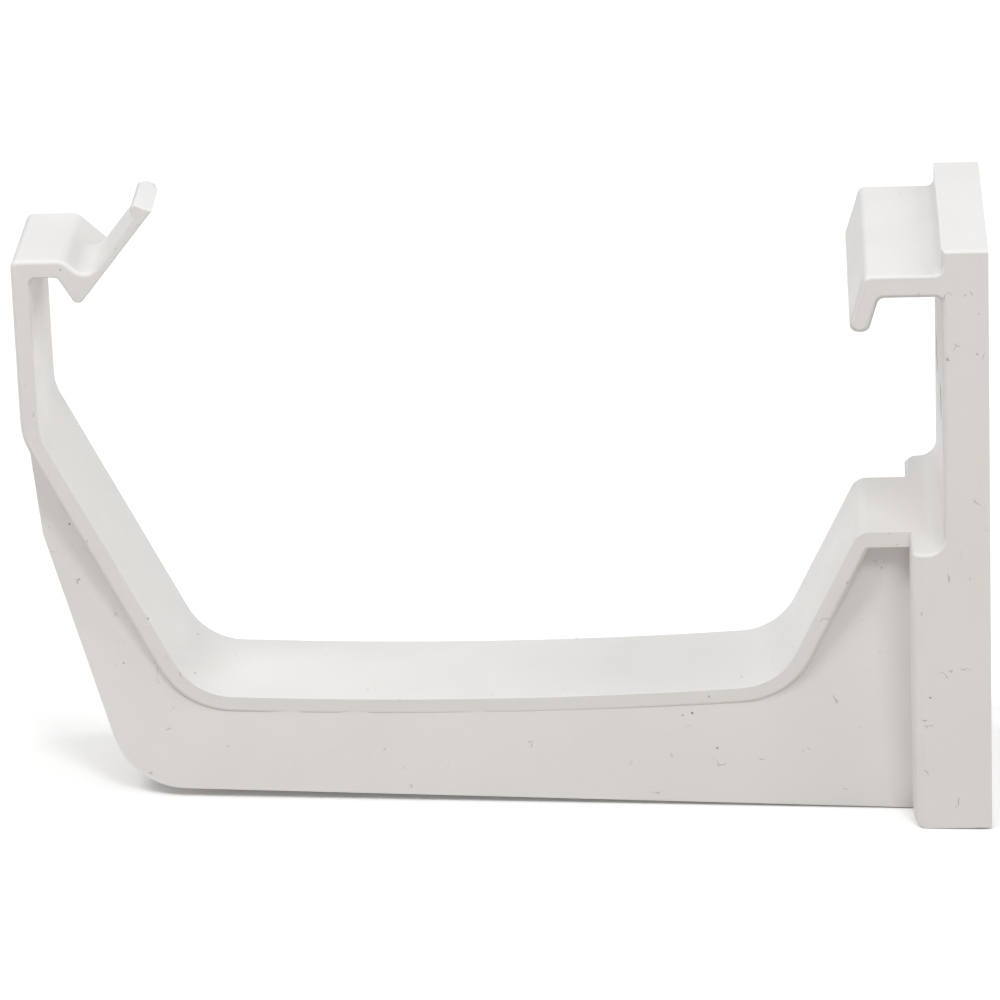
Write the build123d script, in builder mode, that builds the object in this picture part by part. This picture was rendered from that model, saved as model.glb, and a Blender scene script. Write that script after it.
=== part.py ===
from build123d import *

import os
from math import cos, radians, sin, tan

os.makedirs("parts", exist_ok=True)

# One moulded bracket. X runs from the front of the gutter to the fascia board (X = 0),
# Y along the gutter, Z up. The origin is midway between the two screw holes, on the back face.
# Sizes are in millimetres and angles in degrees. Heights and drops are from the gutter seat.

# Gutter channel
gutter_width = 114.0  # nominal width of the square gutter
gutter_play = 0.8  # room left between the gutter, the upright and the plate
channel_depth = 20.9  # seat down to the foot of each slope
floor_bow = 1.1  # how much lower the floor is at mid span
slope_angle = 26.5  # both slopes, from the vertical
knee_height = 15.3  # where the front slope meets the upright
seat_length = 6.5  # seat in front of the thick part of the plate
floor_round = 8.5
brow_round = 2.2
knee_round = 6.5
wall = 2.3  # strap that the gutter lies on
strap_width = 20.0
edge_chamfer = 0.2  # inner outline of the strap's two sides
edge_round = 0.6  # outer outline of the strap's two sides

# Arm below the strap: two side walls and a middle rib, open underneath
draft_angle = 8.5  # the side walls spread towards their open foot
wall_inset = 0.05  # side walls, in from the strap's sides at the middle of its underside
side_wall = 2.2
middle_rib = 2.0
fin_set_back = 0.3  # top of the fin, in from the upright's outer face
fin_drop = 3.6  # top of the fin, below the knee
bend_set_back = 1.55  # bend of the fin, in from the upright's outer face
bend_drop = 14.9  # bend of the fin, below the knee
toe_set_back = 11.7  # front lower corner, in from the upright's outer face
toe_drop = 33.1
heel_drop = 37.5  # lower edge where it meets the plate
bend_round = 6.0
toe_round = 10.0

# Plate on the fascia board
plate_width = 36.8
plate_upper = 5.8  # thickness above the seat
plate_lower = 10.0  # thickness below the seat
plate_rise = 3.1  # top of the plate, above the rear clip
plate_drop = 37.7
plate_skin = 2.4  # front wall left by the cores in the back
plate_rim = 2.4
ledge_round = 2.3  # seat into the upper plate
plate_round = 1.8  # front edges below the seat
face_chamfer = 0.6  # outline of the plate's two sides, above the seat
core_columns = 4
core_rib = 2.0  # between neighbouring cores
core_round = 1.0

# Screw holes
screw_hole = 5.0
screw_spacing = 18.0
screw_height = 17.2
screw_pad = 13.0  # height of the solid band round the holes

# Rear clip, as wide as the plate
rear_clip_height = 37.2
rear_clip_wall = 3.1
rear_clip_reach = 9.6  # outer corner, in front of the upper plate
lip_angle = 17.0  # from the vertical
lip_wall = 2.6
lip_drop = 7.5  # below the top of the clip
lip_round = 1.1
clip_round = 1.0

# Front clip, as wide as the strap, with a release lever on part of its width
front_clip_height = 38.6
hook_length = 6.7  # flat top, from the upright's outer face
hook_fall = 43.5  # top of the tooth, from the level
tooth_root = 5.9  # back of the tooth, from the upright's outer face
tooth_back = 59.0  # back flank, from the level
tooth_drop = 6.3  # tip of the tooth, below the flat top
tip_round = 0.8
lever_angle = 51.4  # front flank and lever, from the level
lever_length = 16.1  # from the tip of the tooth
lever_wall = 1.25
lever_width = 11.3
lever_round = 2.5  # far corner of the lever's end
tab_wall = 2.3
tab_length = 0.8
tab_back = 0.7  # top of the tab, behind its foot
valley_round = 2.0

# Levels and places that follow
seat = -screw_height
floor = seat - channel_depth
knee = seat + knee_height
hook_top = seat + front_clip_height
hook_under = hook_top - wall
clip_top = seat + rear_clip_height
clip_under = clip_top - rear_clip_wall
plate_top = clip_top + plate_rise
plate_foot = seat - plate_drop
slope = tan(radians(slope_angle))
upright_in = -(plate_upper + gutter_width + gutter_play)
upright_out = upright_in - wall
front_floor = upright_in + (knee - floor) * slope
root = plate_skin / 2 - plate_lower  # strap and arm end here, inside the plate
brow = -(plate_lower + seat_length)
rear_floor = brow - channel_depth * slope
mid_floor = (front_floor + rear_floor) / 2
near_side = Plane.XZ.offset(strap_width / 2)


def corner(sketch, point):
    return sketch.vertices().sort_by_distance(point)[0]


def side_outline(part):
    sides = part.faces().filter_by(Axis.Y).sort_by(Axis.Y)
    return sides[0].edges() + sides[-1].edges()


# Line that the gutter lies against, drawn in the side view
with BuildLine() as gutter_line:
    Polyline((upright_in, hook_under), (upright_in, knee), (front_floor, floor))
    ThreePointArc((front_floor, floor), (mid_floor, floor - floor_bow), (rear_floor, floor))
    Polyline((rear_floor, floor), (brow, seat), (root, seat))
    fillet(corner(gutter_line, (upright_in, knee)), knee_round)
    fillet(corner(gutter_line, (front_floor, floor)), floor_round)
    fillet(corner(gutter_line, (rear_floor, floor)), floor_round)
    fillet(corner(gutter_line, (brow, seat)), brow_round)

# Arm: leaning walls and a middle rib, cut to the side view
fin_top = (upright_out + fin_set_back, knee - fin_drop)
fin_bend = (upright_out + bend_set_back, knee - bend_drop)
toe = (upright_out + toe_set_back, seat - toe_drop)
heel = (-plate_lower, seat - heel_drop)
draft = tan(radians(draft_angle))
strap_foot = floor - floor_bow - wall
arm_height = hook_under - plate_foot
foot_half = strap_width / 2 - wall_inset + (strap_foot - plate_foot) * draft
head_half = strap_width / 2 - wall_inset + (strap_foot - hook_under) * draft
with BuildSketch(Plane.XZ) as arm_side:
    with BuildLine():
        add(gutter_line.line)
        Polyline((root, seat), (root, heel[1]), heel, toe, fin_bend, fin_top, (upright_in, hook_under))
    make_face()
    fillet(corner(arm_side, toe), toe_round)
    fillet(corner(arm_side, fin_bend), bend_round)

with BuildPart() as arm:
    with BuildSketch(Plane.YZ.offset(root)) as arm_section:
        with BuildLine():
            Polyline((foot_half, plate_foot), (head_half, hook_under), (head_half - side_wall, hook_under),
                     (foot_half - side_wall, plate_foot), close=True)
        make_face()
        mirror(about=Plane.YZ)
        with Locations((0, plate_foot + arm_height / 2)):
            Rectangle(middle_rib, arm_height)
    extrude(amount=upright_out - root)
    extrude(arm_side.sketch, amount=plate_width / 2, both=True, mode=Mode.INTERSECT)

# Plate with the rear clip, cored from the back
clip_corner = (-plate_upper - rear_clip_reach, clip_top)
lip_lean = tan(radians(lip_angle))
lip_across = lip_wall / cos(radians(lip_angle))
lip_end = (clip_corner[0] - lip_drop * lip_lean, clip_top - lip_drop)
lip_tip = (lip_end[0] + lip_across, lip_end[1])
lip_inner = (clip_corner[0] - rear_clip_wall * lip_lean + lip_across, clip_under)
core_width = (plate_width - 2 * plate_rim - (core_columns - 1) * core_rib) / core_columns
lower_low, lower_high = plate_foot + plate_rim, seat - plate_skin
lower_middle = (lower_low + lower_high) / 2
core_rows = [
    (lower_low, lower_middle - core_rib / 2, plate_lower),
    (lower_middle + core_rib / 2, lower_high, plate_lower),
    (lower_high + core_rib, -screw_pad / 2, plate_upper),
    (screw_pad / 2, plate_top - plate_rim, plate_upper),
]
with BuildPart() as plate:
    with BuildSketch(Plane.XZ) as plate_side:
        with BuildLine():
            Polyline((0, plate_foot), (-plate_lower, plate_foot), (-plate_lower, seat), (-plate_upper, seat),
                     (-plate_upper, clip_under), lip_inner, lip_tip, lip_end, clip_corner,
                     (-plate_upper, clip_top), (-plate_upper, plate_top), (0, plate_top), close=True)
        make_face()
        fillet(corner(plate_side, (-plate_upper, seat)), ledge_round)
        fillet([corner(plate_side, lip_tip), corner(plate_side, lip_end)], lip_round)
        for point in ((-plate_upper, clip_under), lip_inner, clip_corner, (-plate_upper, clip_top)):
            fillet(corner(plate_side, point), clip_round)
    extrude(amount=plate_width / 2, both=True)
    front = plate.edges().filter_by_position(Axis.X, -plate_lower - face_chamfer, -plate_lower + face_chamfer)
    fillet(front.filter_by_position(Axis.Z, plate_foot - face_chamfer, seat - face_chamfer), plate_round)
    upper = side_outline(plate).filter_by_position(Axis.Z, seat + face_chamfer, plate_top + face_chamfer)
    chamfer(upper.filter_by_position(Axis.X, upright_out, -face_chamfer), face_chamfer)
    for low, high, thickness in core_rows:
        with BuildSketch(Plane.YZ):
            with Locations((0, (low + high) / 2)):
                with GridLocations(core_width + core_rib, 1, core_columns, 1):
                    RectangleRounded(core_width, high - low, core_round)
        extrude(amount=plate_skin - thickness, mode=Mode.SUBTRACT)
    with Locations(Plane.YZ):
        with GridLocations(screw_spacing, 1, 2, 1):
            Hole(screw_hole / 2)

# Strap with the front clip: seat, slopes, floor, upright, hook and tooth, then the lever
along = Vector(cos(radians(lever_angle)), sin(radians(lever_angle)))
across = Vector(-along.Y, along.X)
fall = tan(radians(hook_fall))
hook_end = Vector(upright_out + hook_length, hook_top)
tooth_start = Vector(upright_out + tooth_root, hook_under)
tip = tooth_start + Vector((tooth_drop - wall) / tan(radians(tooth_back)), wall - tooth_drop)
lever_top = tip + across * lever_wall
lever_end = tip + along * lever_length
tab_end = lever_end + across * tab_wall - along * tab_back


def meet_hook(start):
    """Where a line along the lever from start meets the sloping top of the tooth."""
    rise = hook_end.Y - start.Y - (start.X - hook_end.X) * fall
    return start + along * (rise / (along.Y + along.X * fall))


crest = meet_hook(tip)
valley = meet_hook(lever_top)
with BuildSketch(Plane.XZ) as strap_side:
    with BuildLine():
        add(gutter_line.line)
        offset(amount=wall, side=Side.RIGHT)
    make_face()
    with BuildLine():
        Polyline((upright_out, hook_under), (upright_out, hook_top), hook_end, crest, tip, tooth_start,
                 (upright_in, hook_under), close=True)
    make_face()
    fillet(corner(strap_side, (upright_out, hook_top)), clip_round)
    fillet(corner(strap_side, hook_end), valley_round)
    for point in (tip, tooth_start, (upright_in, hook_under)):
        fillet(corner(strap_side, point), tip_round)

with BuildPart() as strap:
    extrude(strap_side.sketch, amount=strap_width / 2, both=True)
    with BuildSketch(near_side) as lever_side:
        add(strap_side.sketch_local)
        with BuildLine():
            Polyline(
                (tip + crest) / 2,
                lever_end,
                tab_end,
                tab_end - along * tab_length,
                lever_top + along * (lever_length - tab_back - 2 * tab_length),
                (lever_top + valley) / 2,
                close=True,
            )
        make_face()
        fillet(corner(lever_side, valley), valley_round)
    extrude(amount=-lever_width)
    end_middle = (lever_end + tab_end) / 2
    far_corner = (end_middle.X, lever_width - strap_width / 2, end_middle.Y)
    fillet(strap.edges().sort_by_distance(far_corner)[0], lever_round)
    # each round starts at the top of the hook and runs on, down the upright and along to the seat
    hook_middle = upright_out + hook_length / 2
    sides = (-strap_width / 2, strap_width / 2)
    fillet([strap.edges().sort_by_distance((hook_middle, y, hook_top))[0] for y in sides], edge_round)
    chamfer(side_outline(strap), edge_chamfer)

with BuildPart() as gutter_bracket:
    add(strap.part)
    add(arm.part)
    add(plate.part)

gutter_bracket.part.label = "gutter_bracket"
export_step(gutter_bracket.part, "parts/gutter_bracket.step")
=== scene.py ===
import math

import bmesh
import bpy
from mathutils import Matrix, Vector


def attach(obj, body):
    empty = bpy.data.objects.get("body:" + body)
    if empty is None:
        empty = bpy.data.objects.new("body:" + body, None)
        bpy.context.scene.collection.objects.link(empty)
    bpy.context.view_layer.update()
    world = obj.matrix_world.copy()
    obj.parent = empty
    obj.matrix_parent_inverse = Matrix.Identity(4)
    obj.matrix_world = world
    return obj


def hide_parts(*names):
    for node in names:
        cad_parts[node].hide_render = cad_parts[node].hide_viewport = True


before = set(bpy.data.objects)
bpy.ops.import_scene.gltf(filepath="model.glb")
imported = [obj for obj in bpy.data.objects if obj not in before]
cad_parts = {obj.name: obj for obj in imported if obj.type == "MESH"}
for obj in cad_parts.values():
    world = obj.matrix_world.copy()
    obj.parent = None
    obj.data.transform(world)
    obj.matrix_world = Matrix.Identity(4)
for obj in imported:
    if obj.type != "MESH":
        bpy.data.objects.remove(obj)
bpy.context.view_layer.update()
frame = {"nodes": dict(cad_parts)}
mm = 0.001
print("frame loaded:", ", ".join(frame["nodes"]))


def hexLinear(code):
    # sRGB hex to the linear colour that a shader socket takes
    def channel(pair):
        value = int(pair, 16) / 255
        return value / 12.92 if value <= 0.04045 else ((value + 0.055) / 1.055) ** 2.4
    return tuple(channel(code[i:i + 2]) for i in (1, 3, 5)) + (1.0,)


def addNode(tree, kind, settings, inputs):
    # settings are the node's own options, inputs are values or links for its sockets
    node = tree.nodes.new(kind)
    for name, value in settings.items():
        setattr(node, name, value)
    for key, value in inputs.items():
        if isinstance(value, bpy.types.NodeSocket):
            tree.links.new(value, node.inputs[key])
        else:
            node.inputs[key].default_value = value
    return node


def newMaterial(name):
    material = bpy.data.materials.new(name)
    material.use_nodes = True
    material.node_tree.nodes.clear()
    return material, material.node_tree


# White uPVC, injection moulded: an opaque, slightly warm white with a satin skin, faint flow mottle, a fine
# tool grain, and the grey specks and rub marks of a part that has been handled
whiteUpvc = {
    "white": "#EBE9E7",
    "flowTint": "#E3E0DD",
    "flowSize": 14.0,  # mm, patches of the flow mottle
    "flowNoise": (3.0, 0.55),  # detail and roughness of its noise
    "flowLevels": (0.42, 0.75),  # noise levels between which it comes in
    "flowAmount": 0.35,
    "roughness": (0.34, 0.46),
    "sheenSize": 5.0,  # mm, patches of duller and glossier skin
    "sheenDetail": 2.0,
    "sheenLevels": (0.3, 0.7),  # noise levels of the glossiest and of the dullest skin
    "ior": 1.53,
    "grainSize": 0.45,  # mm, spark-eroded tool grain, drawn a little coarser than real so that it shows
    "grainDepth": 0.004,  # mm
    "sinkSize": 16.0,  # mm, shallow waves that cooling leaves
    "sinkDepth": 0.015,  # mm
    "reliefDetail": 1.0,  # of the noise for grain and waves
    "speckTint": "#4A443F",
    "speckSpacing": 3.8,  # mm, one grain of dirt in each such cube, most of them inside the wall
    "speckReach": (0.07, 0.21),  # mm, where a grain starts to fade and where it ends
    "speckDepth": (0.15, 0.9),  # faintest and darkest grain
    "scuffTint": "#BDB7B0",
    "scuffSpacing": 4.0,  # mm, between the lines that the rub marks are cut from
    "scuffReach": (0.02, 0.09),  # mm, half the width of a rub mark, faded
    "scuffCurl": (1.3, 1.6),  # mm, size and amount of its curl
    "curlDetail": 1.0,
    "scuffPatch": 1.9,  # mm, lengths that show
    "scuffShare": (0.72, 0.80),  # noise levels between which a rub mark comes in
    "plateFront": -10.0,  # mm, behind it lies the fascia plate
    "plateWear": 0.05,  # how much lower the levels for rub marks are on the plate
    "broadSide": 0.9,  # how squarely a broad side looks along the gutter
}


def addGrime(tree, look, place, clean):
    # grains of dirt all over, and curled rub marks on the two broad sides only
    grains = addNode(tree, "ShaderNodeTexVoronoi", {}, {
        "Vector": place, "Scale": 1 / (look["speckSpacing"] * mm)})
    near, far = (reach / look["speckSpacing"] for reach in look["speckReach"])
    chance = addNode(tree, "ShaderNodeSeparateColor", {}, {0: grains.outputs["Color"]})
    dark = addNode(tree, "ShaderNodeMapRange", {}, {
        "Value": chance.outputs[0], "To Min": look["speckDepth"][0], "To Max": look["speckDepth"][1]})
    speck = addNode(tree, "ShaderNodeMapRange", {}, {
        "Value": grains.outputs["Distance"], "From Min": near, "From Max": far,
        "To Min": dark.outputs["Result"], "To Max": 0.0})
    specked = addNode(tree, "ShaderNodeMix", {"data_type": "RGBA"}, {
        0: speck.outputs["Result"], 6: clean, 7: hexLinear(look["speckTint"])})
    curlSize, curlAmount = look["scuffCurl"]
    curl = addNode(tree, "ShaderNodeTexNoise", {}, {
        "Vector": place, "Scale": 1 / (curlSize * mm), "Detail": look["curlDetail"]})
    curled = addNode(tree, "ShaderNodeVectorMath", {"operation": "MULTIPLY_ADD"}, {
        0: curl.outputs["Color"], 1: (curlAmount * mm,) * 3, 2: place})
    lines = addNode(tree, "ShaderNodeTexVoronoi", {"feature": "DISTANCE_TO_EDGE"}, {
        "Vector": curled.outputs["Vector"], "Scale": 1 / (look["scuffSpacing"] * mm)})
    near, far = (reach / look["scuffSpacing"] for reach in look["scuffReach"])
    mark = addNode(tree, "ShaderNodeMapRange", {}, {
        "Value": lines.outputs["Distance"], "From Min": near, "From Max": far,
        "To Min": 1.0, "To Max": 0.0})
    patch = addNode(tree, "ShaderNodeTexNoise", {}, {
        "Vector": place, "Scale": 1 / (look["scuffPatch"] * mm), "Detail": 0.0})
    along = addNode(tree, "ShaderNodeSeparateXYZ", {}, {0: place})
    onPlate = addNode(tree, "ShaderNodeMath", {"operation": "GREATER_THAN"}, {
        0: along.outputs["X"], 1: look["plateFront"] * mm})
    worn = addNode(tree, "ShaderNodeMath", {"operation": "MULTIPLY_ADD"}, {
        0: onPlate.outputs[0], 1: look["plateWear"], 2: patch.outputs["Fac"]})
    shown = addNode(tree, "ShaderNodeMapRange", {}, {
        "Value": worn.outputs[0], "From Min": look["scuffShare"][0], "From Max": look["scuffShare"][1]})
    facing = addNode(tree, "ShaderNodeSeparateXYZ", {}, {
        0: addNode(tree, "ShaderNodeTexCoord", {}, {}).outputs["Normal"]})
    aside = addNode(tree, "ShaderNodeMath", {"operation": "ABSOLUTE"}, {0: facing.outputs["Y"]})
    broad = addNode(tree, "ShaderNodeMath", {"operation": "GREATER_THAN"}, {
        0: aside.outputs[0], 1: look["broadSide"]})
    part = addNode(tree, "ShaderNodeMath", {"operation": "MULTIPLY"}, {
        0: mark.outputs["Result"], 1: shown.outputs["Result"]})
    scuff = addNode(tree, "ShaderNodeMath", {"operation": "MULTIPLY"}, {
        0: part.outputs[0], 1: broad.outputs[0]})
    return addNode(tree, "ShaderNodeMix", {"data_type": "RGBA"}, {
        0: scuff.outputs[0], 6: specked.outputs[2], 7: hexLinear(look["scuffTint"])}).outputs[2]


def makeWhiteUpvc(look):
    material, tree = newMaterial("moulded_white_upvc")
    place = addNode(tree, "ShaderNodeTexCoord", {}, {}).outputs["Object"]
    flow = addNode(tree, "ShaderNodeTexNoise", {}, {
        "Vector": place, "Scale": 1 / (look["flowSize"] * mm),
        "Detail": look["flowNoise"][0], "Roughness": look["flowNoise"][1]})
    flowShare = addNode(tree, "ShaderNodeMapRange", {}, {
        "Value": flow.outputs["Fac"], "From Min": look["flowLevels"][0], "From Max": look["flowLevels"][1],
        "To Max": look["flowAmount"]})
    colour = addNode(tree, "ShaderNodeMix", {"data_type": "RGBA"}, {
        0: flowShare.outputs["Result"], 6: hexLinear(look["white"]), 7: hexLinear(look["flowTint"])})
    colour = addGrime(tree, look, place, colour.outputs[2])
    skin = addNode(tree, "ShaderNodeTexNoise", {}, {
        "Vector": place, "Scale": 1 / (look["sheenSize"] * mm), "Detail": look["sheenDetail"]})
    rough = addNode(tree, "ShaderNodeMapRange", {}, {
        "Value": skin.outputs["Fac"],
        "From Min": look["sheenLevels"][0], "From Max": look["sheenLevels"][1],
        "To Min": look["roughness"][0], "To Max": look["roughness"][1]})
    sink = addNode(tree, "ShaderNodeTexNoise", {}, {
        "Vector": place, "Scale": 1 / (look["sinkSize"] * mm), "Detail": look["reliefDetail"]})
    waves = addNode(tree, "ShaderNodeBump", {}, {
        "Height": sink.outputs["Fac"], "Strength": 1.0, "Distance": look["sinkDepth"] * mm})
    grain = addNode(tree, "ShaderNodeTexNoise", {}, {
        "Vector": place, "Scale": 1 / (look["grainSize"] * mm), "Detail": look["reliefDetail"]})
    relief = addNode(tree, "ShaderNodeBump", {}, {
        "Height": grain.outputs["Fac"], "Strength": 1.0, "Distance": look["grainDepth"] * mm,
        "Normal": waves.outputs["Normal"]})
    shader = addNode(tree, "ShaderNodeBsdfPrincipled", {}, {
        "Base Color": colour, "Roughness": rough.outputs["Result"], "IOR": look["ior"],
        "Normal": relief.outputs["Normal"]})
    addNode(tree, "ShaderNodeOutputMaterial", {}, {"Surface": shader.outputs["BSDF"]})
    return material


# The bracket itself: a merged copy of the modelled solid, so that its rounds shade as rounds
bracketPiece = {
    "node": "gutter_bracket",
    "body": "root",
    "slot": "white_upvc",
    "mergeWithin": 0.001,  # mm
    "flatWithin": 0.2,  # degrees between triangles that become one flat face
    "smoothBelow": 50.0,  # degrees between faces that shade as one
    "tabCorner": ((-107.6, -1.25, 25.5), (-104.4, 1.4, 28.7)),  # mm, box around the far corner of the tab
    "tabAcross": 1.0,  # mm, longer edges there run across the tab
    "tabCuts": 7,  # on each of those edges
    "tabCentre": (-106.4, -1.2, 26.1),  # mm, of the round on that corner
    "tabCrown": 0.9,  # how far its middle fills out, where 1 is a square corner
    "leverAngle": 51.4,  # degrees from the level
}


def crownTab(shape, piece):
    # the lever's tab has a crowned tip, so its far corner is fuller in the middle than at its two edges
    low, high = (Vector(corner) * mm for corner in piece["tabCorner"])

    def onCorner(vertex):
        return all(low[axis] < vertex.co[axis] < high[axis] for axis in range(3))

    across = [edge for edge in shape.edges if all(onCorner(vertex) for vertex in edge.verts)
              and edge.calc_length() > piece["tabAcross"] * mm]
    lean = math.radians(piece["leverAngle"])
    along = Vector((math.cos(lean), 0, math.sin(lean)))
    under = Vector((math.sin(lean), 0, -math.cos(lean)))
    share = shape.verts.layers.float.new("share")  # place across the tab, from -1 to 1
    for edge in across:
        upper, lower = sorted(edge.verts, key=lambda vertex: vertex.co.dot(under))
        upper[share], lower[share] = -1.0, 1.0
    bmesh.ops.subdivide_edges(shape, edges=across, cuts=piece["tabCuts"])
    centre = Vector(piece["tabCentre"]) * mm
    for vertex in shape.verts:
        if onCorner(vertex):
            reach = vertex.co - centre
            reach -= under * reach.dot(under)
            square = reach.length / max(reach.y, reach.dot(along)) - 1  # how much further a square one goes
            arc = math.sqrt(max(0.0, 1 - vertex[share] ** 2))  # 0 at the two edges, 1 midway
            vertex.co += reach * square * piece["tabCrown"] * arc
    shape.verts.layers.float.remove(share)


def makeBracket(piece, material):
    source = frame["nodes"][piece["node"]]
    mesh = source.data.copy()
    mesh.name = "bracket_moulding"
    bracket = bpy.data.objects.new("bracket_moulding", mesh)
    bpy.context.scene.collection.objects.link(bracket)
    shape = bmesh.new()
    shape.from_mesh(mesh)
    bmesh.ops.remove_doubles(shape, verts=shape.verts, dist=piece["mergeWithin"] * mm)
    flat = math.radians(piece["flatWithin"])
    bmesh.ops.dissolve_limit(shape, angle_limit=flat, verts=shape.verts, edges=shape.edges)
    crownTab(shape, piece)
    for face in shape.faces:
        face.smooth = True
    sharpFrom = math.radians(piece["smoothBelow"])
    for edge in shape.edges:
        edge.smooth = edge.is_manifold and edge.calc_face_angle() < sharpFrom
    shape.to_mesh(mesh)
    shape.free()
    mesh.materials.clear()
    mesh.materials.append(material)
    weighted = bracket.modifiers.new("even_shading", "WEIGHTED_NORMAL")
    weighted.keep_sharp = True
    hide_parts(piece["node"])
    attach(bracket, piece["body"])
    return bracket


upvc = makeWhiteUpvc(whiteUpvc)
bracket = makeBracket(bracketPiece, upvc)
print("bracket dressed:", len(bracket.data.polygons), "faces")


# Pale table top: the bracket stands on the foot of its plate, with the front of its arm just clear
tableTop = {
    "lean": 1.85,  # degrees
    "clear": 0.05,  # mm under the lowest point
    "size": 6.0,  # m
    "seen": "#FFFFFF",
    "lit": "#C5C0BA",  # what the bracket gets back from it
    "lift": 0.1,  # glow that only the camera sees, so that the open table stays white
}


def makeTable(look, piece):
    lean = Matrix.Rotation(math.radians(look["lean"]), 3, "Y")
    up = lean @ Vector((0, 0, 1))
    lowest = min(vertex.co.dot(up) for vertex in piece.data.vertices) - look["clear"] * mm
    mesh = bpy.data.meshes.new("table_top")
    shape = bmesh.new()
    bmesh.ops.create_grid(shape, x_segments=1, y_segments=1, size=look["size"] / 2)
    bmesh.ops.transform(shape, matrix=Matrix.Translation(up * lowest) @ lean.to_4x4(), verts=shape.verts)
    shape.to_mesh(mesh)
    shape.free()
    table = bpy.data.objects.new("table_top", mesh)
    bpy.context.scene.collection.objects.link(table)
    material, tree = newMaterial("matt_white_table")
    ray = addNode(tree, "ShaderNodeLightPath", {}, {})
    direct = addNode(tree, "ShaderNodeMath", {"operation": "MAXIMUM"}, {
        0: ray.outputs["Is Camera Ray"], 1: ray.outputs["Is Glossy Ray"]})
    colour = addNode(tree, "ShaderNodeMix", {"data_type": "RGBA"}, {
        0: direct.outputs[0], 6: hexLinear(look["lit"]), 7: hexLinear(look["seen"])})
    surface = addNode(tree, "ShaderNodeBsdfDiffuse", {}, {"Color": colour.outputs[2]})
    lift = addNode(tree, "ShaderNodeMath", {"operation": "MULTIPLY"}, {
        0: ray.outputs["Is Camera Ray"], 1: look["lift"]})
    glow = addNode(tree, "ShaderNodeEmission", {}, {
        "Color": hexLinear(look["seen"]), "Strength": lift.outputs[0]})
    both = addNode(tree, "ShaderNodeAddShader", {}, {
        0: surface.outputs["BSDF"], 1: glow.outputs["Emission"]})
    addNode(tree, "ShaderNodeOutputMaterial", {}, {"Surface": both.outputs["Shader"]})
    mesh.materials.append(material)


makeTable(tableTop, bracket)
print("table top placed")


# Soft studio light: an even white surround, a softbox over each shoulder of the camera, and fills from the
# right and from behind on the left
studio = {
    "white": "#FFFFFF",
    "surround": 0.33,  # its strength on the bracket and the table, where the camera sees 1
    "boxes": [
        {"name": "front_softbox", "turn": 22.0, "rise": 50.0, "away": 1.0, "size": 0.25, "power": 2.3},
        {"name": "left_softbox", "turn": -50.0, "rise": 55.0, "away": 1.0, "size": 0.35, "power": 3.8},
        {"name": "right_fill", "turn": 88.0, "rise": 38.0, "away": 1.0, "size": 0.8, "power": 4.2},
        {"name": "rear_fill", "turn": -140.0, "rise": 45.0, "away": 1.0, "size": 0.8, "power": 1.9},
    ],  # turn is from the camera's side towards the fascia, rise above level, both in degrees; m and W
}


def lightStudio(look, aim):
    world = bpy.data.worlds.new("white_surround")
    bpy.context.scene.world = world
    world.use_nodes = True
    tree = world.node_tree
    tree.nodes.clear()
    ray = addNode(tree, "ShaderNodeLightPath", {}, {})
    direct = addNode(tree, "ShaderNodeMath", {"operation": "MAXIMUM"}, {
        0: ray.outputs["Is Camera Ray"], 1: ray.outputs["Is Transmission Ray"]})
    strength = addNode(tree, "ShaderNodeMapRange", {}, {
        "Value": direct.outputs[0], "To Min": look["surround"], "To Max": 1.0})
    shader = addNode(tree, "ShaderNodeBackground", {}, {
        "Color": hexLinear(look["white"]), "Strength": strength.outputs["Result"]})
    addNode(tree, "ShaderNodeOutputWorld", {}, {"Surface": shader.outputs["Background"]})
    for box in look["boxes"]:
        lamp = bpy.data.lights.new(box["name"], "AREA")
        lamp.size = box["size"]
        lamp.energy = box["power"]
        turn, rise = math.radians(box["turn"]), math.radians(box["rise"])
        level = math.cos(rise)
        towards = Vector((math.sin(turn) * level, -math.cos(turn) * level, math.sin(rise)))
        holder = bpy.data.objects.new(box["name"], lamp)
        holder.location = aim + towards * box["away"]
        holder.rotation_euler = towards.to_track_quat("Z", "Y").to_euler()
        bpy.context.scene.collection.objects.link(holder)


# Camera at the photograph's angle: a little above, square to the side of the bracket
photoView = {
    "aim": (-62.56, 0.0, -15.69),  # mm
    "distance": 801.5,  # mm
    "pitch": 20.593,  # degrees down
    "turn": 2.869,  # degrees to the left
    "roll": 2.081,  # degrees
    "lens": 223.2,  # mm
    "sensor": 36.0,  # mm
    "clip": (0.05, 50.0),  # m
}


def placeCamera(view):
    pitch, turn, roll = (math.radians(view[key]) for key in ("pitch", "turn", "roll"))
    ahead = Vector((-math.sin(turn), math.cos(turn), 0.0))
    forward = ahead * math.cos(pitch) - Vector((0.0, 0.0, math.sin(pitch)))
    level = Vector((math.cos(turn), math.sin(turn), 0.0))
    down = forward.cross(level)
    right = level * math.cos(roll) + down * math.sin(roll)
    back = -forward
    camera = bpy.data.cameras.new("photo_camera")
    camera.lens = view["lens"]
    camera.sensor_width = view["sensor"]
    camera.clip_start, camera.clip_end = view["clip"]
    holder = bpy.data.objects.new("photo_camera", camera)
    holder.matrix_world = Matrix((right, back.cross(right), back)).transposed().to_4x4()
    holder.location = Vector(view["aim"]) * mm - forward * view["distance"] * mm
    bpy.context.scene.collection.objects.link(holder)
    bpy.context.scene.camera = holder


lightStudio(studio, Vector(photoView["aim"]) * mm)
placeCamera(photoView)
bpy.context.scene.view_settings.view_transform = "Standard"
print("light and camera set")
